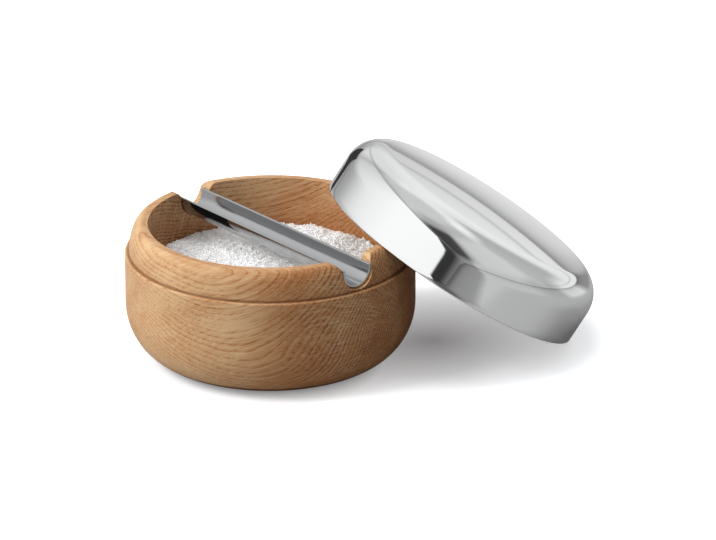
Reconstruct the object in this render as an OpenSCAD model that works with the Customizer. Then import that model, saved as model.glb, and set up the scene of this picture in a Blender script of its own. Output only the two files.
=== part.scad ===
// Turned oak salt bowl with a lift-off steel lid and a steel trough scoop across its rim.
// Lengths are in mm and +Z is up. The origin is the centre of the bowl's underside. The scoop
// lies along Y, and its front end points towards -Y.

/* [Bowl] */
// Diameter of the bowl at its side
bowl_d = 105; // [90:1:120]
// Height of the ledge that carries the lid when the bowl is closed
ledge_z = 39.5; // [34:0.5:46]
// How far the bottom corner draws in from the side
foot_in = 18.4; // [10:0.2:24]
// Height of the bottom corner's curve
foot_h = 20.8; // [10:0.2:28]
// Rounding of the ledge's outer edge
ledge_round = 0.6; // [0.2:0.1:1]
// Thickness of the bowl's bottom
floor_t = 6.5; // [4:0.5:10]
// Radius between the inside wall and the bottom
inside_r = 12; // [6:0.5:16]

/* [Collar] */
// Height of the collar above the ledge
collar_h = 10.85; // [8:0.05:12]
// How far the domed collar draws in between the ledge and the rim
collar_in = 4.5; // [3:0.1:6]
// Fullness of the collar's dome, where 2 is an ellipse and more is squarer
collar_full = 2.1; // [1.6:0.1:3]
// Width of the rim's flat top
rim_w = 2.3; // [1.8:0.1:4]
// Rounding of the rim's inner edge
rim_round = 0.8; // [0.3:0.1:1.2]

/* [Scoop] */
// Width of the trough over its two sides
scoop_w = 12.7; // [10:0.1:16]
// Depth of the trough from its lips to its underside
scoop_depth = 7.8; // [7:0.1:9]
// Thickness of the trough's sheet
scoop_t = 1; // [0.7:0.1:1.4]
// How far the lips lie below the rim
lip_below = 2.25; // [0.5:0.05:3]
// How far each end of the trough stays inside the collar's face
end_inside = 0.6; // [0.2:0.1:2]
// How far the trough has slid forward in its notches
slid_by = 1.2; // [0:0.1:1.4]

/* [Notches] */
// Gap between the trough and its two notches
notch_gap = 0.25; // [0.15:0.05:0.5]
// Radius of the rounded ears beside each notch
ear_r = 3; // [1:0.5:5]

/* [Lid] */
// Where the lid is: leaning on the rim, or closed on the ledge
lid_place = "leaning"; // [leaning, closed]
// Height of the whole lid
lid_h = 27; // [24:0.5:32]
// Straight height of the skirt
skirt_h = 12.6; // [12.2:0.1:15]
// Radius of the shoulder between skirt and dome
shoulder_r = 11.95; // [8:0.05:14]
// Thickness of the lid's sheet
lid_t = 0.8; // [0.6:0.1:1.2]
// How far the skirt stays inside the bowl's side
lid_inset = 0.5; // [0:0.1:2]
// Gap between the closed skirt and the collar's foot
collar_gap = 0.25; // [0.15:0.05:0.5]

/* [Leaning lid] */
// Direction from the bowl to the leaning lid
lean_az = -26; // [-60:1:-20]
// How far the raised edge stands above the rim
raised_by = 7.4; // [4:0.1:12]
// Gap where the lid leans on the rim
lean_gap = 0.12; // [0.1:0.02:0.3]

/* [Salt] */
// Space between the salt's crown and the trough
salt_below = 2.8; // [2:0.1:8]
// How far the salt rises from the wall to its crown
salt_crown = 5; // [2:0.5:9]
// Radius of the mounds in the salt's top
mound_r = 15; // [12:1:20]
// How far the mounds stand out of the salt's top
mound_up = 1.5; // [0.5:0.1:3]
// Gap between the salt and the wood
salt_gap = 0.15; // [0.1:0.05:0.3]

/* [Hidden] */
$fn = 96;
arc_step = 7.5;       // degrees between the points of a turned curve
lean_step = 1.5;      // the same where the leaning lid is tried against the collar
dome_steps = 6;       // pieces in the outline of the lid's dome
crown_steps = 5;      // pieces in the outline of the salt's crown
cut_over = 2;         // how far a cut runs past the faces that it opens

bowl_r = bowl_d / 2;
lid_r = bowl_r - lid_inset;
foot_r = lid_r - lid_t - collar_gap;
rim_r = foot_r - collar_in;
rim_z = ledge_z + collar_h;
inner_r = rim_r - rim_w;

scoop_r = scoop_w / 2;
lip_z = rim_z - lip_below;
trough_z = lip_z - scoop_depth + scoop_r;
notch_r = scoop_r + notch_gap;

// Radius of the collar's face at a height of dz above the ledge
function collar_at(dz) =
    rim_r + collar_in * pow(1 - pow(min(dz / collar_h, 1), collar_full), 1 / collar_full);
scoop_reach = sqrt(pow(collar_at(lip_z - ledge_z), 2) - scoop_r * scoop_r) - end_inside;

salt_top = lip_z - scoop_depth - salt_below;
salt_edge = salt_top - salt_crown;
salt_r = inner_r - salt_gap;
// Mounds in the salt, as [direction in degrees, share of the salt's radius]
mounds = [[28, 0.84], [5, 0.8], [60, 0.8], [112, 0.84], [150, 0.7], [190, 0.84], [225, 0.6],
          [262, 0.8], [300, 0.6], [335, 0.84]];

// Points on an arc round c, from angle a0 to a1
function arc(c, rx, ry, a0, a1) =
    let (n = max(2, ceil(abs(a1 - a0) / arc_step)))
    [for (i = [0:n]) let (a = a0 + (a1 - a0) * i / n) [c[0] + rx * cos(a), c[1] + ry * sin(a)]];

// The collar's domed outline from its foot up to the rim, moved out by off
function collar_face(off, step) = [
    for (a = [0:step:90])
        let (c = pow(cos(a), 2 / collar_full), s = pow(sin(a), 2 / collar_full),
             nr = pow(max(c, 0), collar_full - 1) / collar_in,
             nz = pow(max(s, 0), collar_full - 1) / collar_h,
             n = norm([nr, nz]))
        [rim_r + collar_in * c + off * nr / n, ledge_z + collar_h * s + off * nz / n]
];

// Outline of the bowl's wall, from the axis along the underside, up the side and back inside
function bowl_outline() = concat(
    [[0, 0]],
    arc([bowl_r - foot_in, foot_h], foot_in, foot_h, -90, 0),
    arc([bowl_r - ledge_round, ledge_z - ledge_round], ledge_round, ledge_round, 0, 90),
    collar_face(0, arc_step),
    arc([inner_r + rim_round, rim_z - rim_round], rim_round, rim_round, 90, 180),
    arc([inner_r - inside_r, floor_t + inside_r], inside_r, inside_r, 0, -90),
    [[0, floor_t]]
);

// Outline across a notch: the trough's round bottom, straight sides and rounded ears
module notch_outline() {
    translate([0, trough_z]) circle(notch_r);
    translate([-notch_r, trough_z]) square([2 * notch_r, rim_z - trough_z + cut_over]);
    for (side = [0, 1]) mirror([side, 0])
        translate([notch_r, rim_z - ear_r]) difference() {
            translate([-cut_over, 0]) square([ear_r + cut_over, ear_r + cut_over]);
            translate([ear_r, 0]) circle(ear_r);
        }
}

module bowl() {
    color("#c49a6c") difference() {
        rotate_extrude() polygon(bowl_outline());
        rotate([90, 0, 0]) linear_extrude(bowl_d + cut_over, center = true) notch_outline();
    }
}

// Section of the trough: a half pipe with short straight sides and rounded lips
module trough_outline() {
    lip_r = scoop_t / 2;
    side_z = lip_z - lip_r - trough_z;
    difference() {
        circle(scoop_r);
        circle(scoop_r - scoop_t);
        translate([-scoop_r, 0]) square([scoop_w, scoop_r]);
    }
    for (side = [-1, 1]) translate([side * (scoop_r - lip_r), 0]) {
        translate([-lip_r, 0]) square([scoop_t, side_z]);
        translate([0, side_z]) circle(lip_r);
    }
}

module scoop() {
    color("#9c9c9a")
        translate([0, -slid_by, trough_z]) rotate([90, 0, 0])
            linear_extrude(2 * scoop_reach, center = true) trough_outline();
}

// Skirt, shoulder and dome of a lid face, from the rim's height z0 up to the axis. The shoulder
// is tangent to the skirt, and the dome is a sphere tangent to the shoulder.
function lid_face(r, rs, h, z0) =
    let (a = r - rs, up = h - skirt_h,
         dome_r = (a * a + up * up - rs * rs) / (2 * (up - rs)),
         dome_z = h - dome_r,
         meet = atan2(skirt_h - dome_z, a))
    concat(
        [[r, z0]],
        arc([a, skirt_h], rs, rs, 0, meet),
        [
            for (i = [1:dome_steps])
                let (b = meet + (90 - meet) * i / dome_steps)
                [dome_r * cos(b), dome_z + dome_r * sin(b)]
        ]
    );

function reversed(list) = [for (i = [len(list) - 1:-1:0]) list[i]];

// The lid standing level, with the edge of its skirt at z = 0
module lid_shell() {
    edge_r = lid_t / 2;
    outside = lid_face(lid_r, shoulder_r, lid_h, edge_r);
    inside = lid_face(lid_r - lid_t, shoulder_r - lid_t, lid_h - lid_t, edge_r);
    edge = arc([lid_r - edge_r, edge_r], edge_r, edge_r, 180, 360);
    rotate_extrude() polygon(concat(edge, outside, reversed(inside)));
}

// The leaning lid stands on the lowest point of its skirt's edge and rests on the collar. Its
// edge is a ring of radius ring_r, ring_h above the skirt's end and as thick as the sheet.
ring_r = lid_r - lid_t / 2;
ring_h = lid_t / 2;
tilt = asin((rim_z + raised_by - lid_t) / (2 * ring_r));
ring_z = ring_h + ring_r * sin(tilt);

// How far out the ring's centre lies when the ring passes a circle of radius p[0] at height p[1]
function ring_out(p) =
    let (c = (p[1] - ring_z) / (ring_r * sin(tilt)),
         across = ring_r * sqrt(max(0, 1 - c * c)))
    ring_r * c * cos(tilt) + sqrt(max(0, p[0] * p[0] - across * across));

// The ring has to pass the collar's face at every height, so the one that needs the most room
// sets its place
lean_face = collar_face(ring_h + lean_gap, lean_step);
ring_x = max([for (p = lean_face) ring_out(p)]);

module lid() {
    color("#d5d7da")
        if (lid_place == "closed")
            translate([0, 0, ledge_z + lean_gap]) lid_shell();
        else
            rotate([0, 0, lean_az]) translate([ring_x, 0, ring_z]) rotate([0, tilt, 0])
                translate([0, 0, -ring_h]) lid_shell();
}

// Height of the salt's crown at a distance of r from the axis
function crown_at(r) = salt_edge + salt_crown * (1 + cos(180 * min(r / salt_r, 1))) / 2;

// The room for salt in the bowl, up to a height of top
module salt_room(top) {
    z0 = floor_t + salt_gap;
    rotate_extrude() polygon(concat(
        [[0, z0]],
        arc([salt_r - inside_r, z0 + inside_r], inside_r, inside_r, -90, 0),
        top
    ));
}

// The salt fills the bowl up to a low crown with mounds, under the trough
module salt() {
    crown = [
        for (i = [0:crown_steps])
            let (r = salt_r * (1 - i / crown_steps))
            [r, crown_at(r)]
    ];
    color("#f4f3f0") union() {
        salt_room(crown);
        intersection() {
            salt_room([[salt_r, lip_z], [0, lip_z]]);
            for (m = mounds)
                let (r = m[1] * salt_r)
                rotate([0, 0, m[0]]) translate([r, 0, crown_at(r) + mound_up - mound_r]) sphere(mound_r);
        }
    }
}

bowl();
lid();
scoop();
salt();
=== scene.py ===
"""Turned oak salt bowl with a steel lid leaning on its rim and a trough scoop in its notches."""
import math

import bpy
import numpy as np
from bpy.props import FloatProperty, FloatVectorProperty, IntProperty, PointerProperty
from mathutils import Matrix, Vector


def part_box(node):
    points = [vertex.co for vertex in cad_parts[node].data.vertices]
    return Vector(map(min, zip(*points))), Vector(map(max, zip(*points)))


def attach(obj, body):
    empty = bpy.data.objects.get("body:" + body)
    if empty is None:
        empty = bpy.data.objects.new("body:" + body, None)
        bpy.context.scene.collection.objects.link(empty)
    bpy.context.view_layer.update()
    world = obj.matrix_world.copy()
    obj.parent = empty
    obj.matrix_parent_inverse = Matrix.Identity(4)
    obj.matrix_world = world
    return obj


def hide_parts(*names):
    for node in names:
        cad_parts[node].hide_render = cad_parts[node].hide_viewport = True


bl_info = {
    "name": "Salt bowl with leaning lid",
    "version": (1, 0, 0),
    "blender": (4, 5, 0),
    "location": "View3D > Sidebar > Salt Bowl",
    "description": "Builds an oak salt bowl, its steel lid and scoop, and the salt in it",
    "category": "Add Mesh",
}

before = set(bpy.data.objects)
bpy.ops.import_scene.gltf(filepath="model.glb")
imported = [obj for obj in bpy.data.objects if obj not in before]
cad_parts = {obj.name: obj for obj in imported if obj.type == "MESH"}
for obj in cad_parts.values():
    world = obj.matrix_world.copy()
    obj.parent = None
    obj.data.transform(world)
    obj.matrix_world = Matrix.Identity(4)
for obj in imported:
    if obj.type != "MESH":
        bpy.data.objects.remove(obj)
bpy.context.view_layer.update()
MM = 0.001

# What the frame gives: the bowl's radius and rim, and the trough's radius and its pipe's centre
BOWL_LO, BOWL_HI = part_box("bowl")
SCOOP_LO, SCOOP_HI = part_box("scoop")
_, SALT_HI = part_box("salt")
BOWL_R = min(BOWL_HI[0], -BOWL_LO[0])
RIM_Z = BOWL_HI[2]
SCOOP_R = (SCOOP_HI[0] - SCOOP_LO[0]) / 2
TROUGH_Z = SCOOP_LO[2] + SCOOP_R


def size(name, value, text):
    """A length property in metres, whose default is given in millimetres."""
    return FloatProperty(name=name, description=text, default=value * MM, min=0, unit="LENGTH",
                         precision=5)


def degrees(name, value, text):
    """An angle property, whose default is given in degrees."""
    return FloatProperty(name=name, description=text, default=math.radians(value), subtype="ANGLE")


def colour(name, value, text):
    """A colour property whose values are scene linear."""
    return FloatVectorProperty(name=name, description=text, default=value, size=3, min=0, max=1,
                               subtype="COLOR")


class BowlSizes(bpy.types.PropertyGroup):
    """Sizes of the turned bowl that its box in the frame doesn't give."""

    ledge_z: size("Ledge height", 39.5, "Height of the ledge that carries the closed lid")
    foot_in: size("Foot draw", 18.4, "How far the bottom corner draws in from the side")
    foot_h: size("Foot height", 20.8, "Height of the bottom corner's curve")
    ledge_round: size("Ledge rounding", 0.6, "Rounding of the ledge's outer edge")
    floor_t: size("Bottom", 6.5, "Thickness of the bowl's bottom")
    inside_r: size("Inside radius", 12, "Radius between the inside wall and the bottom")
    collar_foot_in: size("Ledge width", 1.55, "Width of the ledge outside the collar")
    collar_in: size("Collar draw", 4.5, "How far the collar draws in up to the rim")
    rim_w: size("Rim width", 2.3, "Width of the rim's flat top")
    ear_r: size("Ear radius", 3, "Radius of the ears beside each notch")
    edge_r: size("Edge easing", 0.5, "Rounding of the rim's and the notches' edges")
    notch_gap: size("Notch gap", 0.25, "Gap between the scoop and its notches")
    collar_full: FloatProperty(name="Collar fullness", description="Exponent of the collar's dome",
                               default=2.1, min=1.2, max=4)


class LidSizes(bpy.types.PropertyGroup):
    """Sizes of the lid and of how it leans."""

    inset: size("Inset", 0.5, "How far the skirt stays inside the bowl's side")
    sheet: size("Sheet", 0.8, "Thickness of the lid's sheet")
    height: size("Height", 27, "Height of the whole lid")
    skirt_h: size("Skirt", 12.6, "Straight height of the skirt")
    shoulder_r: size("Shoulder", 11.95, "Radius between the skirt and the dome")
    raised_by: size("Raised edge", 7.4, "How far the raised edge stands above the rim")
    lean_gap: size("Lean gap", 0.12, "Gap where the lid leans on the rim")
    lean_az: degrees("Lean direction", -26, "Direction from the bowl to the lid")


class ScoopSizes(bpy.types.PropertyGroup):
    """Sizes of the trough scoop that its box in the frame doesn't give."""

    sheet: size("Sheet", 1, "Thickness of the scoop's sheet")
    end_round: size("End rounding", 0.25, "Rounding of the scoop's end edges")


class SaltSizes(bpy.types.PropertyGroup):
    """The heap of salt and its flakes."""

    edge_below: size("Edge drop", 5, "How far the heap's edge lies below its crown")
    mound_r: size("Mound radius", 15, "Radius of the mounds in the heap")
    mound_up: size("Mound rise", 1.5, "How far the mounds stand out of the heap")
    flake: size("Flake", 1.05, "Middle size of a salt flake")
    count: IntProperty(name="Flakes", description="Number of loose flakes on the heap",
                       default=9000, min=100)
    seed: IntProperty(name="Seed", description="Seed of the flakes' places", default=7)


class Finishes(bpy.types.PropertyGroup):
    """Colours of the finishes."""

    oak_pale: colour("Pale oak", (0.64, 0.42, 0.225), "Late wood between the pores")
    oak_middle: colour("Middle oak", (0.42, 0.178, 0.064), "Wood between late and early")
    oak_dark: colour("Dark oak", (0.12, 0.038, 0.011), "Early wood and its pores")
    steel: colour("Polished steel", (0.86, 0.865, 0.87), "The lid's mirror polish")
    scoop_steel: colour("Scoop steel", (0.46, 0.465, 0.47), "The scoop's satin steel")
    salt_shade: colour("Shaded salt", (0.93, 0.935, 0.94), "The duller flakes")
    salt_white: colour("White salt", (0.99, 0.99, 0.99), "The clearest flakes")
    floor: colour("Floor", (0.85, 0.87, 0.90), "The plain pale floor")


class StageSizes(bpy.types.PropertyGroup):
    """The camera's place and lens."""

    azimuth: degrees("Azimuth", -39.3, "Camera direction, 0 looks along +Y")
    elevation: degrees("Elevation", 21.89, "Camera height above the horizon")
    distance: size("Distance", 2386, "From the camera to what it looks at")
    aim_right: size("Aim right", 31.65, "How far right of the bowl's axis the camera looks")
    aim_up: size("Aim height", 31.63, "Height that the camera looks at")
    lens: FloatProperty(name="Lens", description="Focal length in mm on a 36 mm sensor",
                        default=332.2, min=1)


# ---- surfaces

def add_object(name, data):
    """A new object in the scene."""
    thing = bpy.data.objects.new(name, data)
    bpy.context.scene.collection.objects.link(thing)
    return thing


def mesh_object(name, verts, faces, body, nodes, material):
    """A mesh piece that rides on a body, replaces its CAD nodes and takes a material."""
    mesh = bpy.data.meshes.new(name)
    mesh.from_pydata(np.asarray(verts, dtype=float).tolist(), [], list(faces))
    mesh.validate()
    piece = add_object(name, mesh)
    mesh.polygons.foreach_set("use_smooth", np.ones(len(mesh.polygons), dtype=bool))
    mesh.materials.append(material)
    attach(piece, body)
    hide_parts(*nodes)
    return piece


def ring_faces(columns, rows):
    """Quads between neighbouring rows of a grid that is closed round its columns.

    Vertex (column i, row j) has the index i * rows + j.
    """
    i = np.arange(columns)[:, None]
    j = np.arange(rows - 1)[None, :]
    here = i * rows + j
    there = ((i + 1) % columns) * rows + j
    return np.stack([here, there, there + 1, here + 1], -1).reshape(-1, 4)


def closed_grid(points, start_pole, end_pole):
    """Vertices and faces of a grid closed round its columns, with a pole at each end.

    points has the shape (columns, rows, 3), and the poles close the first and the last row.
    """
    columns, rows = points.shape[:2]
    verts = np.vstack([points.reshape(-1, 3), start_pole, end_pole])
    quads = ring_faces(columns, rows).tolist()
    i = np.arange(columns)
    nxt = (i + 1) % columns
    south = np.stack([np.full(columns, columns * rows), nxt * rows, i * rows], -1)
    north = np.stack([np.full(columns, columns * rows + 1), i * rows + rows - 1,
                      nxt * rows + rows - 1], -1)
    return verts, quads + south.tolist() + north.tolist()


def arc(centre, radius, start, end, steps):
    """Points centre + radius * (cos a, sin a) at steps + 1 equal angles from start to end degrees.

    An ellipse has a pair of radii.
    """
    a = np.radians(np.linspace(start, end, steps + 1))
    return centre + np.multiply(radius, np.stack([np.cos(a), np.sin(a)], -1))


def revolve(profile, columns):
    """A profile of (radius, height) turned round Z: x = r cos a, y = r sin a, z = height."""
    a = np.linspace(0, 2 * np.pi, columns, endpoint=False)[:, None]
    r, z = profile[None, :, 0], profile[None, :, 1]
    return np.stack([r * np.cos(a), r * np.sin(a), z + 0 * a], -1)


# ---- bowl

# Steps of the bowl's grid, first along a quarter of the rim and then along the wall
NOTCH_STEPS, RIM_STEPS = 14, 47
UNDER_STEPS, CORNER_STEPS, SIDE_STEPS, LEDGE_STEPS = 5, 22, 6, 5
COLLAR_STEPS, TOP_STEPS, WALL_STEPS, INSIDE_STEPS = 18, 5, 11, 8
# How far past its ear a notch still draws the side's columns together, and how far under the
# trough the inside wall's columns are upright again
NOTCH_SPREAD, UPRIGHT_BELOW = 4.5 * MM, 4 * MM
# How the columns lean on the collar and on the inside wall: the power of the share of the way
COLLAR_LEAN, WALL_LEAN = 1.5, 0.7


def foot_radius(s):
    """Radius of the collar's foot on the ledge."""
    return BOWL_R - s.collar_foot_in


def rim_radius(s):
    """Radius of the rim's outer edge."""
    return foot_radius(s) - s.collar_in


def inner_radius(s):
    """Radius of the inside wall."""
    return rim_radius(s) - s.rim_w


def collar_section(s, t):
    """The collar's dome: radius rim + draw * cos(a)^(2/n), height ledge + h * sin(a)^(2/n).

    Here a runs from 0 at the ledge to a quarter turn at the rim, as t runs from 0 to 1.
    """
    a = t * np.pi / 2
    power = 2 / s.collar_full
    radius = rim_radius(s) + s.collar_in * np.cos(a).clip(0, 1) ** power
    height = s.ledge_z + (RIM_Z - s.ledge_z) * np.sin(a).clip(0, 1) ** power
    return radius, height


def notch_path(s):
    """Half the notch's outline as (across, height): round bottom, straight side, rounded ear.

    The bottom is a quarter circle of the scoop's radius plus the gap, and the ear is a quarter
    circle that ends level with the rim.
    """
    notch_r = SCOOP_R + s.notch_gap
    bottom = arc((0, TROUGH_Z), notch_r, -90, 0, NOTCH_STEPS)
    ear = arc((notch_r + s.ear_r, RIM_Z - s.ear_r), s.ear_r, 180, 90, NOTCH_STEPS)
    return np.vstack([bottom, ear])


def bowl_columns(s):
    """The columns of a quarter of the bowl, as angles from the middle of a notch.

    Gives the notch's outline, the side's angles of the columns that follow it, and the side's
    and the rim's angles of the columns beyond it.
    """
    path = notch_path(s)
    along = np.concatenate([[0], np.cumsum(np.hypot(*np.diff(path, axis=0).T))])
    near = np.arcsin((path[-1, 0] + NOTCH_SPREAD) / foot_radius(s)) * along / along[-1]
    rim_angle = np.arcsin(path[-1, 0] / rim_radius(s))
    share = np.linspace(0, 1, RIM_STEPS + 1)[1:]
    base = near[-1] + (np.pi / 2 - near[-1]) * share
    top = rim_angle + (np.pi / 2 - rim_angle) * share
    return path, near, base, top


def side_profile(s):
    """Underside, rounded bottom corner, side and the ledge's edge, as (radius, height)."""
    flat_r = BOWL_R - s.foot_in
    radius = np.linspace(0.1, 1, UNDER_STEPS + 1) * flat_r
    under = np.stack([radius, 0 * radius], -1)
    corner = arc((flat_r, s.foot_h), (s.foot_in, s.foot_h), -90, 0, CORNER_STEPS)[1:]
    height = np.linspace(s.foot_h, s.ledge_z - s.ledge_round, SIDE_STEPS + 1)[1:-1]
    side = np.stack([BOWL_R + 0 * height, height], -1)
    edge = arc((BOWL_R - s.ledge_round, s.ledge_z - s.ledge_round), s.ledge_round, 0, 90,
               LEDGE_STEPS)
    return np.vstack([under, corner, side, edge])


def bottom_profile(s):
    """The inside's rounded corner and one ring on the flat bottom, as (radius, height)."""
    inner_r = inner_radius(s)
    corner = arc((inner_r - s.inside_r, s.floor_t + s.inside_r), s.inside_r, 0, -90, INSIDE_STEPS)
    return np.vstack([corner, [[inner_r * 0.35, s.floor_t]]])


def bowl_row(radius, height, turn):
    """Positions of one row: x = r sin a, y = r cos a, z = height, with a from the notch."""
    x, y = radius * np.sin(turn), radius * np.cos(turn)
    return np.stack([x, y, np.broadcast_to(height, x.shape)], -1)


def bowl_quarter(s):
    """A quarter of the bowl's grid, and its rows at the outer and the inner edge of the top.

    The rows run from the underside up the side, over the collar, across the wall's top and down
    the inside. Each column's top point lies on the rim or on a notch's outline, and the rows of
    the collar and of the inside wall lean from the column's angle on the side to that point.
    """
    path, near, base, top = bowl_columns(s)
    inner_r = inner_radius(s)
    angle = np.concatenate([near, base])
    rise = ((path[:, 1] - s.ledge_z) / (RIM_Z - s.ledge_z)).clip(0, 1)
    reach = np.concatenate([np.arcsin(rise ** (s.collar_full / 2)) / (np.pi / 2),
                            np.ones(len(base))])
    top_r, top_z = collar_section(s, reach)
    outer = np.concatenate([np.arcsin(path[:, 0] / top_r[:len(path)]), top])
    inner = np.concatenate([np.arcsin(path[:, 0] / inner_r), top])
    drift = np.arcsin(path[-1, 0] / inner_r) - np.arcsin(path[-1, 0] / rim_radius(s))
    inner[len(path):] += drift * np.linspace(1, 0, len(top)) ** 3

    rows = [bowl_row(r, z, angle) for r, z in side_profile(s)]
    for v in np.linspace(0, 1, COLLAR_STEPS + 1):
        radius, height = collar_section(s, reach * v)
        rows.append(bowl_row(radius, height, angle + (outer - angle) * v ** COLLAR_LEAN))
    outer_row = len(rows) - 1
    outer_edge, inner_edge = rows[-1], bowl_row(inner_r, top_z, inner)
    for v in np.linspace(0, 1, TOP_STEPS + 1)[1:]:
        rows.append(outer_edge + (inner_edge - outer_edge) * v)
    inner_row = len(rows) - 1
    below = SCOOP_LO[2] - UPRIGHT_BELOW
    for v in np.linspace(0, 1, WALL_STEPS + 1)[1:]:
        height = top_z + (below - top_z) * v
        rows.append(bowl_row(inner_r, height, inner + (angle - inner) * v ** WALL_LEAN))
    rows += [bowl_row(r, z, angle) for r, z in bottom_profile(s)]
    return np.stack(rows, 1), outer_row, inner_row


def bowl_points(s):
    """The whole grid: the quarter and its three mirror images, from the front notch round."""
    quarter, outer_row, inner_row = bowl_quarter(s)
    flip_x, flip_y = np.array([-1, 1, 1]), np.array([1, -1, 1])
    back = quarter[::-1][1:]
    whole = np.concatenate([quarter * flip_y, back, (quarter * flip_x)[1:],
                            (back * flip_x * flip_y)[:-1]])
    return whole, outer_row, inner_row


def ease_edges(piece, rows, eased_rows, width):
    """Rounds the edges that run along the given rows of a closed grid, with a weighted bevel.

    The poles' numbers fall on the rows 0 and 1, so neither of those can be eased.
    """
    mesh = piece.data
    ends = np.empty(len(mesh.edges) * 2, dtype=int)
    mesh.edges.foreach_get("vertices", ends)
    row = ends.reshape(-1, 2) % rows
    weight = (row[:, 0] == row[:, 1]) & np.isin(row[:, 0], eased_rows)
    layer = mesh.attributes.new("bevel_weight_edge", "FLOAT", "EDGE")
    layer.data.foreach_set("value", weight.astype(float))
    bevel = piece.modifiers.new("eased edges", "BEVEL")
    bevel.limit_method = "WEIGHT"
    bevel.width, bevel.segments = width, 3


def oak_bowl(s, colours):
    """The bowl's surface with eased edges at its rim and notches."""
    points, outer_row, inner_row = bowl_points(s)
    verts, faces = closed_grid(points, [0, 0, 0], [0, 0, s.floor_t])
    piece = mesh_object("turned_bowl", verts, faces, "bowl", ["bowl"],
                        oak(colours, (foot_radius(s), s.ledge_z), inner_radius(s)))
    piece.data.set_sharp_from_angle(angle=math.radians(40))
    ease_edges(piece, points.shape[1], [outer_row, inner_row], s.edge_r)
    return piece


# ---- lid

# Steps of the lid's grid, and heights of the collar that the leaning lid is tried against
SKIRT_STEPS, SHOULDER_STEPS, DOME_STEPS, EDGE_STEPS, LID_COLUMNS = 7, 28, 24, 8, 256
LEAN_TRIES = 61


def lid_face(radius, shoulder, height, skirt):
    """Skirt, shoulder arc and spherical dome, each tangent to the next, as (radius, height)."""
    flat = radius - shoulder
    rise = height - skirt
    dome_r = (flat ** 2 + rise ** 2 - shoulder ** 2) / (2 * (rise - shoulder))
    dome_z = height - dome_r
    meet = math.degrees(math.atan2(skirt - dome_z, flat))
    up = np.linspace(0.03, 1, SKIRT_STEPS + 1) * skirt
    wall = np.stack([radius + 0 * up, up], -1)
    turn = arc((flat, skirt), shoulder, 0, meet, SHOULDER_STEPS)[1:]
    dome = arc((0, dome_z), dome_r, meet, 90, DOME_STEPS)[1:-1]
    return np.vstack([wall, turn, dome])


def lean_place(s, bowl):
    """Tilt of the leaning lid and where the centre of its skirt's edge lies.

    The edge is a ring. It stands on the floor, and its raised side passes every height of the
    collar at the collar's radius there plus the gap, so the height that needs most room places it.
    """
    ring_r = BOWL_R - s.inset - s.sheet / 2
    ring_h = s.sheet / 2
    tilt = math.asin((RIM_Z + s.raised_by - s.sheet) / (2 * ring_r))
    ring_z = ring_h + ring_r * math.sin(tilt)
    t = np.linspace(0, 1, LEAN_TRIES)
    radius, height = collar_section(bowl, t)
    a = t * np.pi / 2
    power = 2 - 2 / bowl.collar_full
    normal = np.stack([np.cos(a).clip(0, 1) ** power / bowl.collar_in,
                       np.sin(a).clip(0, 1) ** power / (RIM_Z - bowl.ledge_z)], -1)
    normal *= (ring_h + s.lean_gap) / np.linalg.norm(normal, axis=1, keepdims=True)
    radius, height = radius + normal[:, 0], height + normal[:, 1]
    c = (height - ring_z) / (ring_r * math.sin(tilt))
    across = ring_r * np.sqrt((1 - c ** 2).clip(0))
    out = ring_r * c * math.cos(tilt) + np.sqrt((radius ** 2 - across ** 2).clip(0))
    return tilt, out.max(), ring_z


def leaned(points, s, bowl):
    """Points of the level lid turned by its tilt and set beside the bowl."""
    tilt, out, up = lean_place(s, bowl)
    x, y, z = points[..., 0], points[..., 1], points[..., 2] - s.sheet / 2
    u = x * math.cos(tilt) + z * math.sin(tilt) + out
    w = -x * math.sin(tilt) + z * math.cos(tilt) + up
    c, d = math.cos(s.lean_az), math.sin(s.lean_az)
    return np.stack([u * c - y * d, u * d + y * c, w], -1)


def steel_lid(s, bowl, colours):
    """The lid: its outside turned over a rounded edge into its inside, then leaned."""
    radius = BOWL_R - s.inset
    outside = lid_face(radius, s.shoulder_r, s.height, s.skirt_h)
    inside = lid_face(radius - s.sheet, s.shoulder_r - s.sheet, s.height - s.sheet, s.skirt_h)
    half = s.sheet / 2
    edge = arc((radius - half, half), half, -180, 0, EDGE_STEPS)[1:-1]
    profile = np.vstack([inside[::-1], edge, outside])
    points = leaned(revolve(profile, LID_COLUMNS), s, bowl)
    poles = leaned(np.array([[0, 0, s.height - s.sheet], [0, 0, s.height]]), s, bowl)
    verts, faces = closed_grid(points, *poles)
    return mesh_object("domed_lid", verts, faces, "lid", ["lid"],
                       mirror_steel(colours))


# ---- scoop

# Steps of the scoop's grid: round its pipe and a lip, along it, and over an end's rounded edge
PIPE_STEPS, LIP_STEPS, LENGTH_STEPS, END_STEPS = 40, 8, 11, 4


def trough_section(s):
    """Half pipe with straight sides and round lips, as a closed loop of (across, height)."""
    lip = s.sheet / 2
    lip_z = SCOOP_HI[2] - lip
    outside = arc((0, TROUGH_Z), SCOOP_R, -180, 0, PIPE_STEPS)
    right = arc((SCOOP_R - lip, lip_z), lip, 0, 180, LIP_STEPS)
    inside = arc((0, TROUGH_Z), SCOOP_R - s.sheet, 0, -180, PIPE_STEPS)
    left = arc((lip - SCOOP_R, lip_z), lip, 0, 180, LIP_STEPS)
    return np.vstack([outside, right, inside, left])


def sheet_middle(s, section):
    """The point in the middle of the sheet that is nearest to each point of the section."""
    middle_r = SCOOP_R - s.sheet / 2
    up = section[:, 1] - TROUGH_Z
    lean = np.arctan2(np.minimum(up, 0), section[:, 0])
    rise = up.clip(0, SCOOP_HI[2] - s.sheet / 2 - TROUGH_Z)
    return np.stack([middle_r * np.cos(lean), TROUGH_Z + middle_r * np.sin(lean) + rise], -1)


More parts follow.
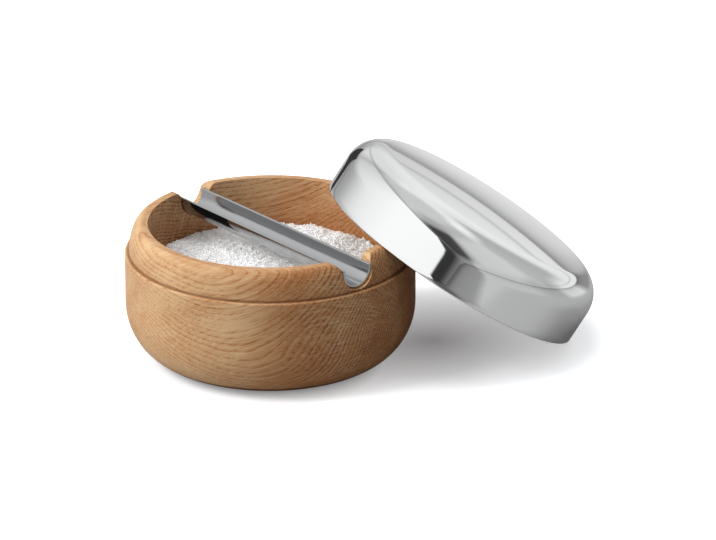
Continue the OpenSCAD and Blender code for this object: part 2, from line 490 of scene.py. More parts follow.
def steel_scoop(s, colours):
    """The trough's section carried along Y, with its end edges rounded by drawing in the sheet.

    Over each end the distance from the sheet's middle shrinks by round * (1 - cos a), and the
    way to the end's face is round * (1 - sin a), as a runs over a quarter turn.
    """
    section = trough_section(s)
    middle = sheet_middle(s, section)
    a = np.linspace(0, np.pi / 2, END_STEPS + 1)
    draw = 1 - (1 - np.cos(a)) * 2 * s.end_round / s.sheet
    end = (1 - np.sin(a)) * s.end_round
    length = SCOOP_HI[1] - SCOOP_LO[1]
    straight = np.linspace(s.end_round, length - s.end_round, LENGTH_STEPS + 1)[1:-1]
    y = SCOOP_LO[1] + np.concatenate([end[::-1], straight, length - end])
    keep = np.concatenate([draw[::-1], np.ones(len(straight)), draw])
    flat = middle[:, None, :] + (section - middle)[:, None, :] * keep[None, :, None]
    points = np.stack([flat[..., 0], np.broadcast_to(y, flat.shape[:2]), flat[..., 1]], -1)
    columns, rows = points.shape[:2]
    faces = ring_faces(columns, rows).tolist() + end_caps(columns, rows)
    return mesh_object("trough_scoop", points.reshape(-1, 3), faces, "scoop", ["scoop"],
                       satin_steel(colours))


def end_caps(columns, rows):
    """Strips of quads that close both ends of the trough, between its outside and its inside.

    The section's loop starts at the left lip's foot. Rolled by half a lip it starts on the lip's
    top, so point k on the way along the outside faces point -k, on the inside.
    """
    caps = []
    for row, flip in ((0, False), (rows - 1, True)):
        ring = np.roll(np.arange(columns) * rows + row, LIP_STEPS // 2)
        there, back = ring[:columns // 2], ring[::-1][:columns // 2]
        quads = np.stack([there[:-1], back[:-1], back[1:], there[1:]], -1)
        caps += (quads[:, ::-1] if flip else quads).tolist()
    return caps


# ---- salt

# The solid's mounds, as (direction in degrees, share of the heap's radius)
MOUNDS = ((28, 0.84), (5, 0.8), (60, 0.8), (112, 0.84), (150, 0.7), (190, 0.84), (225, 0.6),
          (262, 0.8), (300, 0.6), (335, 0.84))
# How far the heap's surface lies under the solid's top, its waves, its roughness, how far flakes
# may rise above the top, the gap to the wood, and how deep its closed underside lies
HEAP_SUNK, WAVE_UP, ROUGH_UP, FLAKE_ROOM = 0.3 * MM, 0.05 * MM, 0.12 * MM, 0.6 * MM
WALL_GAP, HEAP_DEPTH, HEAP_RINGS, HEAP_COLUMNS = 0.1 * MM, 14 * MM, 60, 160
# A flake's spread in length and its limits, and the shares of its length that give its width, its
# thickness, how far its corners move in and how far it stands out
SIZE_SIGMA, SIZE_LIMITS = 0.35, (0.4, 1.9)
WIDTH_SHARE, THICK_SHARE, CORNER_SHARE, LIFT_SHARE = (0.5, 0.95), (0.3, 0.75), 0.55, (-0.3, 0.9)


def crown_height(s, r):
    """The heap's cosine crown: edge + drop * (1 + cos(pi r / R)) / 2."""
    share = (r / SALT_HI[0]).clip(0, 1)
    return SALT_HI[2] - s.edge_below + s.edge_below * (1 + np.cos(np.pi * share)) / 2


def heap_height(s, x, y):
    """Height of the heap: its crown, or a mound's sphere where that is higher, with short waves."""
    top = crown_height(s, np.hypot(x, y))
    for turn, share in MOUNDS:
        r = share * SALT_HI[0]
        across = np.hypot(x - r * np.cos(np.radians(turn)), y - r * np.sin(np.radians(turn)))
        centre = crown_height(s, np.array(r)) + s.mound_up - s.mound_r
        top = np.maximum(top, centre + np.sqrt((s.mound_r ** 2 - across ** 2).clip(0)))
    wave = np.sin(x * 1150 + 1.3) * np.cos(y * 1020 - 0.4) + np.sin(x * 760 - y * 930)
    return top + WAVE_UP * wave - HEAP_SUNK


def salt_heap(s, colours):
    """The heap's surface and, on it, thousands of small angular flakes in one mesh."""
    rng = np.random.default_rng(s.seed)
    radius = SALT_HI[0] - WALL_GAP
    bottom = SALT_HI[2] - HEAP_DEPTH
    r = np.sqrt(np.linspace(0.0004, 1, HEAP_RINGS)) * radius
    a = np.linspace(0, 2 * np.pi, HEAP_COLUMNS, endpoint=False)[:, None]
    x, y = r * np.cos(a), r * np.sin(a)
    z = heap_height(s, x, y) + rng.normal(0, ROUGH_UP, x.shape)
    top = np.stack([x, y, z], -1)
    low = np.stack([radius * np.cos(a), radius * np.sin(a), 0 * a + bottom], -1)
    points = np.concatenate([low, top[:, ::-1]], 1)
    crown = float(heap_height(s, np.array(0.), np.array(0.)))
    verts, faces = closed_grid(points, [0, 0, bottom], [0, 0, crown])
    flake_verts, flake_faces = salt_flakes(s, rng, radius)
    faces += (flake_faces + len(verts)).tolist()
    piece = mesh_object("salt_heap", np.vstack([verts, flake_verts]), faces, "bowl", ["salt"],
                        salt(colours))
    piece.data.set_sharp_from_angle(angle=math.radians(25))
    return piece


def salt_flakes(s, rng, radius):
    """Flakes as boxes with their corners moved at random, turned at random and sunk in the heap.

    A unit quaternion (w, q) turns a corner v into v + w t + q x t, where t = 2 q x v.
    """
    count = s.count
    corners = np.array([[i, j, k] for i in (-1, 1) for j in (-1, 1) for k in (-1, 1)], float)
    quads = np.array([[0, 1, 3, 2], [4, 6, 7, 5], [0, 4, 5, 1], [2, 3, 7, 6], [0, 2, 6, 4],
                      [1, 5, 7, 3]])
    r = radius * np.sqrt(rng.uniform(0, 1, count)) * 0.985
    a = rng.uniform(0, 2 * np.pi, count)
    x, y = r * np.cos(a), r * np.sin(a)
    length = s.flake / 2 * rng.lognormal(0, SIZE_SIGMA, count).clip(*SIZE_LIMITS)
    stretch = np.stack([length, length * rng.uniform(*WIDTH_SHARE, count),
                        length * rng.uniform(*THICK_SHARE, count)], -1)
    shape = corners[None] * (1 - rng.uniform(0, CORNER_SHARE, (count, 8, 3))) * stretch[:, None, :]
    q = rng.normal(size=(count, 4))
    q /= np.linalg.norm(q, axis=1, keepdims=True)
    axis = q[:, None, 1:]
    side = 2 * np.cross(axis, shape)
    shape = shape + q[:, :1, None] * side + np.cross(axis, side)
    lift = heap_height(s, x, y) + length * rng.uniform(*LIFT_SHARE, count)
    verts = shape + np.stack([x, y, lift], -1)[:, None, :]
    out = np.hypot(verts[..., 0], verts[..., 1])
    verts[..., :2] *= np.minimum(1, radius / out)[..., None]
    verts[..., 2] = np.minimum(verts[..., 2], SALT_HI[2] + FLAKE_ROOM)
    faces = quads[None] + 8 * np.arange(count)[:, None, None]
    return verts.reshape(-1, 3), faces.reshape(-1, 4)


# ---- materials

def level_direction(turn):
    """A level direction, turned from the one that faces -Y and positive towards +X."""
    return np.array([math.sin(math.radians(turn)), -math.cos(math.radians(turn)), 0])


# The log that the bowl is turned from. Its pith passes close to the bowl's axis, PITH_OUT from it
# towards PITH_TURN and PITH_UP along UPWARD, and its fibres rise by FIBRE_RISE degrees, so the
# ring that reaches furthest out shows as a bull's-eye under the ledge.
PITH_TURN, PITH_OUT, PITH_UP, FIBRE_RISE = -46.4, 3.2 * MM, -3.0 * MM, 20.0
RING_WIDTH = 1.25 * MM
OUTWARD = level_direction(PITH_TURN)
ALONG = level_direction(PITH_TURN + 90)
FIBRE = (math.cos(math.radians(FIBRE_RISE)) * ALONG
         + math.sin(math.radians(FIBRE_RISE)) * np.array([0, 0, 1]))
UPWARD = np.cross(OUTWARD, FIBRE)
PITH = OUTWARD * PITH_OUT + UPWARD * PITH_UP

# How far the rings wander, widely and finely, and how far from the pith the rays fade in
SWAY, RIPPLE, RAY_EDGE = 7 * MM, 0.5 * MM, (21 * MM, -18 * MM)
# How much darker each feature makes the wood, whose tone is 0 for pale, 0.5 for middle and 1 for dark
# oak. Rings and pores have a second weight, which open end grain adds, and which is partly painted
# shade.
BASE_TONE, RING_TONE, PORE_TONE = 0.08, (0.22, 0.26), (0.24, 0.16)
BAND_TONE, STREAK_TONE, PATCH_TONE = 0.45, 0.60, 0.70
END_GRAIN_AND_SHADE_TONE, FULL_END_AND_SHADE_TONE, RAY_TONE = 0.30, 0.14, -0.30
# Painted shade on the inside wall: its amount, more of it per metre of depth, and less where it is
# end grain
WALL_SHADE, WALL_DEPTH_SHADE, WALL_END_SHADE = 0.16, 12.0, -0.42
# Where end grain begins, as (middle, width) of how far the surface faces the log's end. Only the side
# that faces that one end, away from the key lamp, is darkened, so this is partly painted shade
END_EDGE, OPEN_EDGE, FULL_END_EDGE = (0.04, -0.5), (0.42, -0.4), (0.85, -0.4)


def new_material(name):
    """A new material, a helper that adds its nodes, and its Principled shader."""
    material = bpy.data.materials.new(name)
    material.use_nodes = True
    return material, Nodes(material.node_tree), material.node_tree.nodes["Principled BSDF"]


class Nodes:
    """Adds shader nodes to a tree, each with its inputs set or linked in one call."""

    def __init__(self, tree):
        self.tree = tree

    def add(self, kind, inputs=None, **settings):
        """A new node of the kind, with its settings and its inputs by name or index."""
        node = self.tree.nodes.new("ShaderNode" + kind)
        for key, value in settings.items():
            setattr(node, key, value)
        return self.fill(node, inputs or {})

    def fill(self, node, inputs):
        """Gives a node's inputs plain values, or links them to other nodes' outputs."""
        for key, value in inputs.items():
            if isinstance(value, bpy.types.NodeSocket):
                self.tree.links.new(value, node.inputs[key])
            else:
                node.inputs[key].default_value = value
        return node

    def math(self, operation, a, b=0.0, c=0.0, clamp=False):
        return self.add("Math", {0: a, 1: b, 2: c}, operation=operation, use_clamp=clamp).outputs[0]

    def times(self, a, b):
        return self.math("MULTIPLY", a, b)

    def plus(self, total, value, weight, clamp=False):
        """total + value * weight"""
        return self.math("MULTIPLY_ADD", value, weight, total, clamp)

    def vector(self, operation, a, b=(0, 0, 0)):
        node = self.add("VectorMath", {0: a, 1: b}, operation=operation)
        return node.outputs["Value" if operation in ("DOT_PRODUCT", "LENGTH") else "Vector"]

    def along(self, vector, axes):
        """The vector's lengths along the given axes."""
        return [self.vector("DOT_PRODUCT", vector, tuple(axis)) for axis in axes]

    def off_axis(self, vector):
        """Distance from the Z axis."""
        return self.vector("LENGTH", self.vector("MULTIPLY", vector, (1, 1, 0)))

    def part(self, vector, index):
        return self.add("SeparateXYZ", {0: vector}).outputs[index]

    def join(self, x, y, z):
        return self.add("CombineXYZ", {0: x, 1: y, 2: z}).outputs[0]

    def mix(self, factor, a, b, blend="MIX"):
        node = self.add("Mix", {0: factor, 6: a, 7: b}, data_type="RGBA", blend_type=blend)
        return node.outputs[2]

    def noise(self, vector, scale, detail=2.0, roughness=0.5):
        node = self.add("TexNoise", {"Vector": vector, "Scale": scale, "Detail": detail,
                                     "Roughness": roughness})
        return node.outputs["Fac"]

    def wobble(self, vector, scale, detail, size):
        """A smooth random push, by up to about half the size along each axis."""
        cloud = self.add("TexNoise", {"Vector": vector, "Scale": scale, "Detail": detail})
        push = self.vector("SUBTRACT", cloud.outputs["Color"], (0.5, 0.5, 0.5))
        return self.add("VectorMath", {0: push, "Scale": size}, operation="SCALE").outputs["Vector"]

    def spread(self, value, low, high, start, end, **settings):
        """Runs from start to end as the value runs from low to high, and stays there beyond."""
        node = self.add("MapRange", {"Value": value, "From Min": low, "From Max": high,
                                     "To Min": start, "To Max": end}, **settings)
        return node.outputs["Result"]

    def step(self, value, edge, width):
        """1 below the edge and 0 above it, or the other way round for a negative width."""
        low = self.math("SUBTRACT", edge, abs(width) / 2)
        high = self.math("ADD", edge, abs(width) / 2)
        start, end = (1.0, 0.0) if width > 0 else (0.0, 1.0)
        return self.spread(value, low, high, start, end, interpolation_type="SMOOTHSTEP")

    def ramp(self, factor, stops):
        """A colour ramp through stops of (place, value), where a value is a grey or a colour."""
        node = self.add("ValToRGB", {"Fac": factor})
        elements = node.color_ramp.elements
        for place, _ in stops[1:-1]:
            elements.new(place)
        for element, (place, value) in zip(elements, stops):
            element.position = place
            element.color = rgb(value) if hasattr(value, "__len__") else grey(value)
        return node.outputs["Color"]

    def turn(self, x, y):
        """Angle round the stage from y towards x: 0 at -180 degrees and 1 at 180."""
        return self.plus(0.5, self.math("ARCTAN2", x, y), 0.5 / math.pi)

    def around(self, turn, stops):
        """Greys round the stage, from stops of (degrees, value)."""
        return self.ramp(turn, [(0.5 + angle / 360, value) for angle, value in stops])


def rgb(value):
    """A colour property as four numbers."""
    return (*value, 1.0)


def grey(value):
    """A grey as four numbers."""
    return (value, value, value, 1.0)


def oak_tone(n, place, normal, inner_r):
    """How dark the turned oak is, from 0 to 1.

    Its rings are cylinders round a tilted pith near the bowl's axis, so the side shows a bull's-eye
    between long grain and end grain. Pores run along the fibres, and rays cross the rings towards the
    pith. Only the end grain that faces one end of the log, on the side away from the key lamp, is
    darkened, so that darkening is partly painted shade, and the inside wall gets painted shade that
    deepens downwards.
    """
    out, high, long = n.along(n.vector("SUBTRACT", place, tuple(PITH)), (OUTWARD, UPWARD, FIBRE))
    stem = n.join(out, high, n.times(long, 0.25))
    fibre = n.join(out, high, n.times(long, 0.07))
    bent = n.vector("ADD", stem, n.wobble(stem, 30.0, 2.0, SWAY))
    bent = n.vector("ADD", bent, n.wobble(stem, 420.0, 1.0, RIPPLE))
    depth = n.off_axis(bent)
    ring = n.math("FRACT", n.times(depth, 1 / RING_WIDTH))
    early = n.ramp(ring, [(0.0, 0.30), (0.08, 1.0), (0.25, 0.70), (0.55, 0.15), (0.85, 0.0),
                          (1.0, 0.30)])
    bands = n.add("TexNoise", {"W": n.times(depth, 420.0), "Detail": 3.0,
                               "Roughness": 0.65}, noise_dimensions="1D").outputs["Fac"]
    uneven = n.times(early, n.plus(-0.3, bands, 1.6))
    streak = n.noise(fibre, 1100.0, 2.0, 0.7)
    patch = n.noise(stem, 75.0, 3.0)
    vessels = n.add("TexVoronoi", {"Vector": fibre, "Scale": 2100.0}).outputs["Distance"]
    pore = n.step(vessels, n.plus(0.12, early, 0.36), 0.10)
    plates = n.join(n.times(n.math("ARCTAN2", n.part(bent, 1), n.part(bent, 0)), 0.13),
                    n.times(depth, 0.08), n.times(long, 0.12))
    ray = n.step(n.noise(plates, 1300.0, 1.0, 0.4), 0.58, -0.08)
    ray = n.times(ray, n.step(depth, *RAY_EDGE))

    facing = n.vector("DOT_PRODUCT", normal, tuple(ALONG))
    # End grain and painted shade: only surfaces that face one end of the log, away from the key lamp,
    # are darkened.
    end, open_end_and_shade = n.step(facing, *END_EDGE), n.step(facing, *OPEN_EDGE)
    tone = n.plus(BASE_TONE, uneven, n.plus(RING_TONE[0], open_end_and_shade, RING_TONE[1]))
    for grain, weight in ((bands, BAND_TONE), (streak, STREAK_TONE), (patch, PATCH_TONE)):
        tone = n.plus(tone, n.math("SUBTRACT", grain, 0.5), weight)
    tone = n.plus(tone, pore, n.plus(PORE_TONE[0], open_end_and_shade, PORE_TONE[1]))
    # Painted shade in the bowl's hollow: the inside wall darkens more the deeper it lies.
    wall = n.step(n.off_axis(place), inner_r + 0.5 * MM, 0.4 * MM)
    sunk_shade = n.plus(WALL_DEPTH_SHADE * RIM_Z + WALL_SHADE, n.part(place, 2), -WALL_DEPTH_SHADE)
    tone = n.plus(tone, wall, n.plus(sunk_shade, end, WALL_END_SHADE))
    tone = n.plus(tone, end, END_GRAIN_AND_SHADE_TONE)
    tone = n.plus(tone, n.step(facing, *FULL_END_EDGE), FULL_END_AND_SHADE_TONE)
    return n.plus(tone, ray, n.times(open_end_and_shade, RAY_TONE), clamp=True)


def crease_shade_mask(n, place, crease):
    """Mask of painted shade: 1 in the corner between ledge and collar, at (radius, height), and 0
    away from it.
    """
    above = n.math("ABSOLUTE", n.math("SUBTRACT", n.part(place, 2), crease[1] + 0.2 * MM))
    beside = n.math("ABSOLUTE", n.math("SUBTRACT", n.off_axis(place), crease[0]))
    return n.times(n.step(above, 0.55 * MM, 0.9 * MM), n.step(beside, 0.9 * MM, 0.9 * MM))


def oak(colours, crease, inner_r):
    """Turned oak, coloured through three oaks by its tone, with painted shade as a dark line in the
    crease.
    """
    material, n, shader = new_material("turned_oak")
    given = n.add("TexCoord").outputs
    tone = oak_tone(n, given["Object"], given["Normal"], inner_r)
    body = n.ramp(tone, [(0.0, colours.oak_pale), (0.5, colours.oak_middle), (1.0, colours.oak_dark)])
    # Painted shade: the crease between ledge and collar is mixed towards dark oak.
    crease_shade = n.times(crease_shade_mask(n, given["Object"], crease), 0.55)
    bump = n.add("Bump", {"Height": tone, "Strength": 0.25, "Distance": 0.2 * MM}, invert=True)
    n.fill(shader, {"Base Color": n.mix(crease_shade, body, rgb(colours.oak_dark)),
                    "Roughness": n.plus(0.50, tone, 0.10), "Specular IOR Level": 0.30,
                    "Normal": bump.outputs["Normal"]})
    return material


def polish():
    """The node group that both steels share: noise at a place, as a roughness and as a height."""
    tree = bpy.data.node_groups.get("polish")
    if tree:
        return tree
    tree = bpy.data.node_groups.new("polish", "ShaderNodeTree")
    tree.interface.new_socket("Place", in_out="INPUT", socket_type="NodeSocketVector")
    for name in ("Scale", "Detail", "Least", "Spread"):
        tree.interface.new_socket(name, in_out="INPUT", socket_type="NodeSocketFloat")
    for name in ("Roughness", "Height"):
        tree.interface.new_socket(name, in_out="OUTPUT", socket_type="NodeSocketFloat")
    n = Nodes(tree)
    given = tree.nodes.new("NodeGroupInput").outputs
    lines = n.noise(given["Place"], given["Scale"], given["Detail"])
    n.fill(tree.nodes.new("NodeGroupOutput"), {
        "Roughness": n.plus(given["Least"], lines, given["Spread"]), "Height": lines})
    return tree


def mirror_steel(colours):
    """Mirror polished steel with a faint, uneven polish."""
    material, n, shader = new_material("mirror_steel")
    haze = n.add("Group", {"Place": n.add("TexCoord").outputs["Object"], "Scale": 60.0,
                           "Detail": 3.0, "Least": 0.035, "Spread": 0.03}, node_tree=polish())
    n.fill(shader, {"Base Color": rgb(colours.steel), "Metallic": 1.0,
                    "Roughness": haze.outputs["Roughness"]})
    return material


def satin_steel(colours):
    """Satin steel, brushed along the scoop."""
    material, n, shader = new_material("satin_steel")
    along = n.vector("MULTIPLY", n.add("TexCoord").outputs["Object"], (1, 0.03, 1))
    lines = n.add("Group", {"Place": along, "Scale": 9000.0, "Detail": 2.0, "Least": 0.12,
                            "Spread": 0.08}, node_tree=polish())
    bump = n.add("Bump", {"Height": lines.outputs["Height"], "Strength": 0.08,
                          "Distance": 0.05 * MM})
    n.fill(shader, {"Base Color": rgb(colours.scoop_steel), "Metallic": 1.0,
                    "Roughness": lines.outputs["Roughness"], "Normal": bump.outputs["Normal"]})
    return material


def salt(colours):
    """White salt that lets light through. The glow stands in for light deep in the flakes."""
    material, n, shader = new_material("salt_flakes")
    mottle = n.noise(n.add("TexCoord").outputs["Object"], 700.0, 1.0)
    tint = n.ramp(mottle, [(0.3, colours.salt_shade), (0.7, colours.salt_white)])
    n.fill(shader, {"Base Color": tint, "Roughness": 0.5, "Subsurface Weight": 0.6,
                    "Subsurface Radius": (2.5 * MM, 2.5 * MM, 2.5 * MM), "Subsurface Scale": 1.0,
                    "Emission Color": grey(1), "Emission Strength": 0.045})
    return material


# ---- stage

def side_axes(s):
    """Level directions of the stage: to the viewer's right, and towards the viewer."""
    turn = math.degrees(s.azimuth)
    return level_direction(turn + 90), level_direction(turn)


def stage_place(s, right, toward, up):
    """A place given by its way to the viewer's right, towards the viewer and up."""
    across, near = side_axes(s)
    return across * right + near * toward + np.array([0, 0, up])


def turn_and_move(thing, axes, place):
    """Turns an object so that its own axes are the given ones, and moves it to the place."""
    matrix = np.eye(4)
    matrix[:3, :3] = np.stack(axes, 1)
    matrix[:3, 3] = place
    thing.matrix_world = Matrix(matrix.tolist())


def camera(s):
    """The camera at the photograph's viewing angle, with a long lens and no shift."""
    right, toward = side_axes(s)
    back = toward * math.cos(s.elevation) + np.array([0, 0, math.sin(s.elevation)])
    data = bpy.data.cameras.new("camera")
    data.sensor_width = 36
    data.lens = s.lens
    data.clip_start, data.clip_end = 0.05, 50
    cam = add_object("camera", data)
    aim = stage_place(s, s.aim_right, 0, s.aim_up)
    turn_and_move(cam, (right, np.cross(back, right), back), aim + back * s.distance)
    bpy.context.scene.camera = cam


def softbox(name, s, where, side, power):
    """A square area lamp at a (right, toward, up) place, aimed at the object."""
    place, aim = stage_place(s, *where), stage_place(s, *LAMP_AIM)
    data = bpy.data.lights.new(name, "AREA")
    data.shape = "SQUARE"
    data.size, data.energy = side, power
    lamp = add_object(name, data)
    lamp.visible_glossy = False
    z = (place - aim) / np.linalg.norm(place - aim)
    x = np.cross(np.array([0, 0, 1]) if abs(z[2]) < 0.99 else side_axes(s)[1], z)
    x /= np.linalg.norm(x)
    turn_and_move(lamp, (x, np.cross(z, x), z), place)


def bare_nodes(owner):
    """The emptied node tree of a material or world, in a helper that adds its nodes."""
    owner.use_nodes = True
    owner.node_tree.nodes.clear()
    return Nodes(owner.node_tree)


def flat_piece(name, centre, half_wide, half_high, material):
    """A rectangle of the stage, given by its centre and its two half sides."""
    corners = [centre + half_wide * i + half_high * j
               for i, j in ((-1, -1), (1, -1), (1, 1), (-1, 1))]
    mesh = bpy.data.meshes.new(name)
    mesh.from_pydata([corner.tolist() for corner in corners], [], [(0, 1, 2, 3)])
    mesh.materials.append(material)
    return add_object(name, mesh)


def card(name, s, where, width, height, turn, value):
    """A plain upright card that only mirrors see. It faces the object from the given turn."""
    material = bpy.data.materials.new(name)
    n = bare_nodes(material)
    glow = n.add("Emission", {"Color": grey(1), "Strength": value})
    n.add("OutputMaterial", {"Surface": glow.outputs[0]})
    t = math.radians(turn)
    along = stage_place(s, math.cos(t), -math.sin(t), 0) * width / 2
    piece = flat_piece(name, stage_place(s, *where), along, np.array([0, 0, height / 2]), material)
    for use in ("camera", "diffuse", "shadow", "transmission", "volume_scatter"):
        setattr(piece, "visible_" + use, False)


# Greys round the stage, as (degrees from the viewer's side and positive to the right, value), of
# the floor that mirrors see, painted there as reflections, of the walls' foot and head, of the
# ceiling, and of the white wall
GROUND = ((-180, 0.75), (-172, 0.46), (-26, 0.50), (-20, 0.08), (-10, 0.12), (-3, 0.26),
          (6, 0.31), (10, 0.55), (60, 0.55), (80, 0.44), (97, 0.44), (108, 0.70), (130, 0.74),
          (141, 0.28), (156, 0.27), (165, 0.66), (180, 0.75))
WALL_FOOT = ((-180, 0.55), (-168, 0.32), (-160, 0.14), (-152, 0.26), (-145, 0.50), (-30, 0.30),
             (-19, 0.03), (-11, 0.04), (-4, 0.27), (6, 0.35), (11, 0.62), (60, 0.62), (75, 0.50),
             (85, 0.56), (95, 0.48), (105, 0.62), (114, 0.86), (135, 0.90), (160, 0.86),
             (169, 0.68), (180, 0.58))
WALL_HEAD = ((-180, 0.80), (-166, 0.80), (-156, 0.52), (-145, 0.60), (-40, 0.50), (-26, 0.10),
             (-18, 0.055), (0, 0.06), (7, 0.08), (15, 0.50), (24, 0.66), (70, 0.70), (85, 0.54),
             (118, 0.48), (127, 0.54), (137, 0.84), (155, 0.96), (180, 0.80))
CEILING = ((-180, 0.92), (-155, 0.66), (-120, 0.60), (-60, 0.74), (-30, 0.48), (-5, 0.42),
           (20, 0.50), (60, 0.56), (80, 0.86), (95, 1.02), (120, 0.90), (180, 0.92))
WHITE_WALL = ((-180, 0.70), (-150, 0.70), (-120, 0.88), (-95, 1.0), (-70, 1.10), (180, 1.10))
WHITE_FOOT = ((-180, 0.30), (-153, 0.32), (-140, 0.42), (-115, 0.62), (-95, 0.92), (-70, 1.06),
              (180, 1.06))
# Places as (right, toward, up): the lamps' aim, the floor's middle for mirrors, below the lid, and
# the middle of the shadow painted on the camera's floor, between bowl and lid
LAMP_AIM, LID_PLACE, PAINTED_SHADOW_PLACE = (0.02, 0, 0.03), (0.09, 0, 0), (0.060, -0.010, 0)
# The painted shade grey that mirrors see on the floor near that middle, the distance that it ends at,
# and the floor's reach
LID_SHADE_GREY, NEAR_EDGE, FLOOR_REACH = 0.46, (0.12, -0.06), 6.0
# How the camera's floor brightens away from the shade and from the bowl: two distances, two glows.
# Where the glows stay low they paint shadow on the floor
PAINTED_SHADOW_GLOW, FOOT_SHADOW_GLOW = (0.0, 0.09, 0.14, 0.80), (0.034, 0.056, 0.10, 0.75)


def floor(s, colours):
    """A wide pale floor that keeps the shadows. The camera sees it brighten to white away from
    the bowl's foot and from the shaded place between bowl and lid, so round both a shadow is painted
    over the real one."""
    material = bpy.data.materials.new("pale_floor")
    n = bare_nodes(material)
    place = n.add("TexCoord").outputs["Object"]
    # Painted reflections and shade: what mirrors and bounced light see of the floor is grey round the
    # lid's middle, darker near it.
    seen = n.vector("SUBTRACT", place, tuple(stage_place(s, *LID_PLACE)))
    ring = n.around(n.turn(*n.along(seen, side_axes(s))), GROUND)
    away = n.step(n.vector("LENGTH", seen), *NEAR_EDGE)
    matt = n.add("BsdfDiffuse", {"Color": n.mix(away, grey(LID_SHADE_GREY), ring)})
    pale = n.add("BsdfDiffuse", {"Color": rgb(colours.floor)})
    shade = n.vector("LENGTH", n.vector("SUBTRACT", place, tuple(stage_place(s, *PAINTED_SHADOW_PLACE))))
    # Painted shadow: the camera's glow stays low near the bowl's foot and between bowl and lid.
    glow = n.math("MINIMUM", n.spread(shade, *PAINTED_SHADOW_GLOW),
                  n.spread(n.vector("LENGTH", place), *FOOT_SHADOW_GLOW))
    lit = n.add("Emission", {"Color": grey(1), "Strength": glow})
    both = n.add("AddShader", {0: pale.outputs[0], 1: lit.outputs[0]})
    pick = n.add("MixShader", {0: n.add("LightPath").outputs["Is Camera Ray"],
                               1: matt.outputs[0], 2: both.outputs[0]})
    n.add("OutputMaterial", {"Surface": pick.outputs[0]})
    x, y, _ = np.eye(3) * FLOOR_REACH
    piece = flat_piece("floor", np.zeros(3), x, y, material)


# Edges on the sky, as (middle, width) of a direction's height, and the grey right above
WALL_EDGE, WHITE_EDGE = (0.18, -0.24), (0.22, -0.30)
CEILING_EDGE, TOP_EDGE, TOP_GREY = (0.81, -0.14), (0.94, -0.08), 0.66
# The white wall's ends in degrees, the slope of its top, and the grey above it with its share
WHITE_ENDS, WHITE_TOP, ABOVE_GREY, ABOVE_SHARE = (-153, -18.5), 1.95, 0.3, 0.45
# What diffuse surfaces get of the sky on the far left and on the far right
DIFFUSE_LEFT, DIFFUSE_RIGHT = 1.0, 0.24


def sky(s):
    """A white world for the camera. For all else it is a studio: a tall white wall on the left,
    a dark opening towards the viewer and pale walls round the rest, under a pale ceiling."""
    world = bpy.data.worlds.new("studio")
    bpy.context.scene.world = world
    n = bare_nodes(world)
    ray = n.add("TexCoord").outputs["Generated"]
    x, y = n.along(ray, side_axes(s))
    z, turn = n.part(ray, 2), n.turn(x, y)
    walls = n.mix(n.step(z, *WALL_EDGE), n.around(turn, WALL_FOOT), n.around(turn, WALL_HEAD))
    ceiling = n.mix(n.step(z, *TOP_EDGE), n.around(turn, CEILING), grey(TOP_GREY))
    pale = n.mix(n.step(z, *CEILING_EDGE), walls, ceiling)
    slope = n.math("DIVIDE", z, n.math("MAXIMUM", n.times(x, -1), 0.03))
    above = n.times(n.step(slope, WHITE_TOP, -0.2), n.step(slope, WHITE_TOP + 0.55, 0.7))
    pale = n.mix(n.times(above, ABOVE_SHARE), pale, grey(ABOVE_GREY))
    start, end = (0.5 + angle / 360 for angle in WHITE_ENDS)
    inside = n.times(n.step(slope, WHITE_TOP, 0.16), n.step(turn, end, 0.006))
    inside = n.times(inside, n.step(turn, start, -0.03))
    white = n.mix(n.step(z, *WHITE_EDGE), n.around(turn, WHITE_FOOT), n.around(turn, WHITE_WALL))
    light = n.mix(inside, pale, white)
    path = n.add("LightPath").outputs
    dimmer = n.spread(x, -0.6, 0.8, DIFFUSE_LEFT, DIFFUSE_RIGHT)
    light = n.mix(path["Is Diffuse Ray"], light, n.mix(1.0, light, dimmer, "MULTIPLY"))
    studio = n.add("Background", {"Color": light})
    white = n.add("Background", {"Color": grey(1)})
    pick = n.add("MixShader", {0: path["Is Camera Ray"], 1: studio.outputs[0],
                               2: white.outputs[0]})
    n.add("OutputWorld", {"Surface": pick.outputs[0]})


# ---- operators

class Settings(bpy.types.PropertyGroup):
    """All sizes and colours of the salt bowl."""

    bowl: PointerProperty(type=BowlSizes)
    lid: PointerProperty(type=LidSizes)
    scoop: PointerProperty(type=ScoopSizes)
    salt: PointerProperty(type=SaltSizes)
    finish: PointerProperty(type=Finishes)
    stage: PointerProperty(type=StageSizes)


class SALT_OT_bowl(bpy.types.Operator):
    """Turn the oak bowl"""

    bl_idname = "salt.bowl"
    bl_label = "Oak bowl"

    def execute(self, context):
        s = context.scene.salt_bowl
        oak_bowl(s.bowl, s.finish)
        return {"FINISHED"}


class SALT_OT_lid(bpy.types.Operator):
    """Lean the steel lid on the bowl"""

    bl_idname = "salt.lid"
    bl_label = "Steel lid"

    def execute(self, context):
        s = context.scene.salt_bowl
        steel_lid(s.lid, s.bowl, s.finish)
        return {"FINISHED"}


class SALT_OT_scoop(bpy.types.Operator):
    """Lay the scoop in its notches"""

    bl_idname = "salt.scoop"
    bl_label = "Trough scoop"

    def execute(self, context):
        s = context.scene.salt_bowl
        steel_scoop(s.scoop, s.finish)
        return {"FINISHED"}


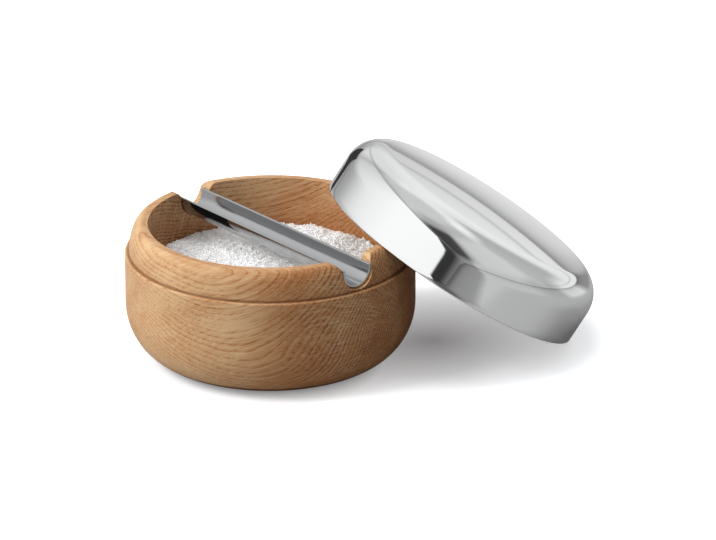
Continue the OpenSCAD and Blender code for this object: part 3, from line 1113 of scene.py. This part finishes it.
class SALT_OT_salt(bpy.types.Operator):
    """Fill the bowl with salt"""

    bl_idname = "salt.salt"
    bl_label = "Salt"

    def execute(self, context):
        s = context.scene.salt_bowl
        salt_heap(s.salt, s.finish)
        return {"FINISHED"}


class SALT_OT_stage(bpy.types.Operator):
    """Set the camera, the floor and the lamps"""

    bl_idname = "salt.stage"
    bl_label = "Stage"

    def execute(self, context):
        s = context.scene.salt_bowl.stage
        camera(s)
        floor(s, context.scene.salt_bowl.finish)
        sky(s)
        softbox("key", s, (-1.1, 0.35, 1.0), side=0.7, power=14)
        softbox("top", s, (-0.15, -0.10, 1.5), side=0.8, power=7.5)
        card("dark_gap", s, (-0.087, -0.351, 0.07), width=0.10, height=0.14, turn=-161, value=0.04)
        # Painted shade: a dark card inside the bowl beside the scoop, which the scoop mirrors as the
        # shaded well.
        card("painted_well_shade", s, (-0.0301, -0.0212, 0.0413), width=0.029, height=0.0145, turn=129,
             value=0.01)
        context.scene.view_settings.view_transform = "Standard"
        return {"FINISHED"}


class SALT_PT_panel(bpy.types.Panel):
    """Lists the operators in build order"""

    bl_label = "Salt Bowl"
    bl_idname = "SALT_PT_panel"
    bl_space_type = "VIEW_3D"
    bl_region_type = "UI"
    bl_category = "Salt Bowl"

    def draw(self, context):
        for operator in OPERATORS:
            self.layout.operator(operator.bl_idname)


GROUPS = (BowlSizes, LidSizes, ScoopSizes, SaltSizes, Finishes, StageSizes, Settings)
OPERATORS = (SALT_OT_stage, SALT_OT_bowl, SALT_OT_lid, SALT_OT_scoop, SALT_OT_salt)
CLASSES = (*GROUPS, *OPERATORS, SALT_PT_panel)


def register():
    for each in CLASSES:
        bpy.utils.register_class(each)
    bpy.types.Scene.salt_bowl = PointerProperty(type=Settings)


def unregister():
    del bpy.types.Scene.salt_bowl
    for each in reversed(CLASSES):
        bpy.utils.unregister_class(each)


def main():
    """Registers the add-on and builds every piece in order."""
    register()
    bpy.ops.salt.stage()
    bpy.ops.salt.bowl()
    bpy.ops.salt.lid()
    bpy.ops.salt.scoop()
    bpy.ops.salt.salt()


if __name__ == "__main__":
    main()
